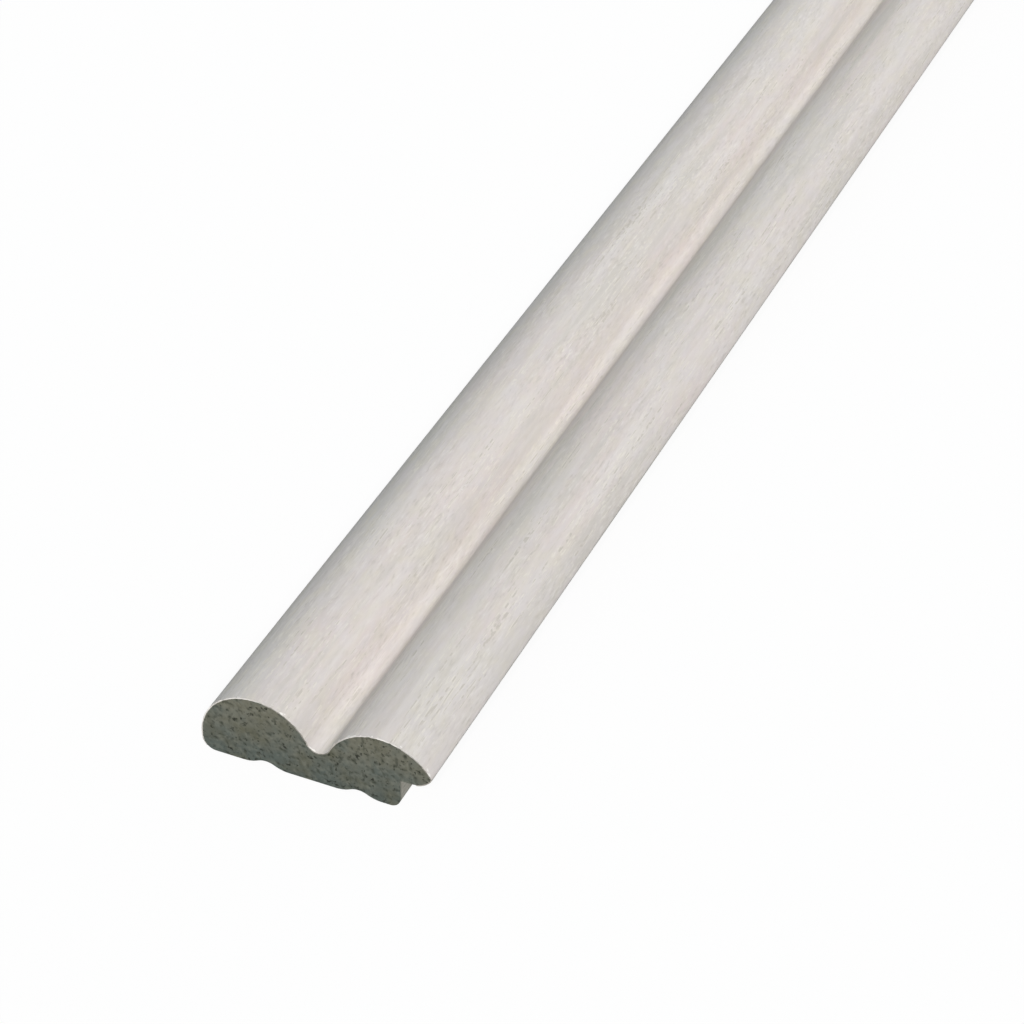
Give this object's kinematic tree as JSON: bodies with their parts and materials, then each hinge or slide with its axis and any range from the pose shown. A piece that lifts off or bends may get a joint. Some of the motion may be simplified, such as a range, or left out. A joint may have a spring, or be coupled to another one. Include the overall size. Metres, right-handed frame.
{
  "type": "panel transition profile",
  "caption": "Wrapped MDF moulding with rounded beads either side of a valley and a lip over a side rebate; covers the joint between wall or ceiling panels.",
  "frame": {"origin": "in the back plane, under the middle of the length and of the overall width", "axes": "+X across the section from the rounded side towards the lip, +Y along the stock, +Z from the back to the bead tops"},
  "size_m": [0.04, 2.6, 0.013],
  "materials": {
    "mdf": "bare grey-green moisture-resistant fibreboard, milled and sawn",
    "foil": "satin decor foil with a pale washed wood grain along the length"
  },
  "bodies": {
    "root": {"mdf_core": "mdf", "decor_foil": "foil"}
  },
  "joints": []
}
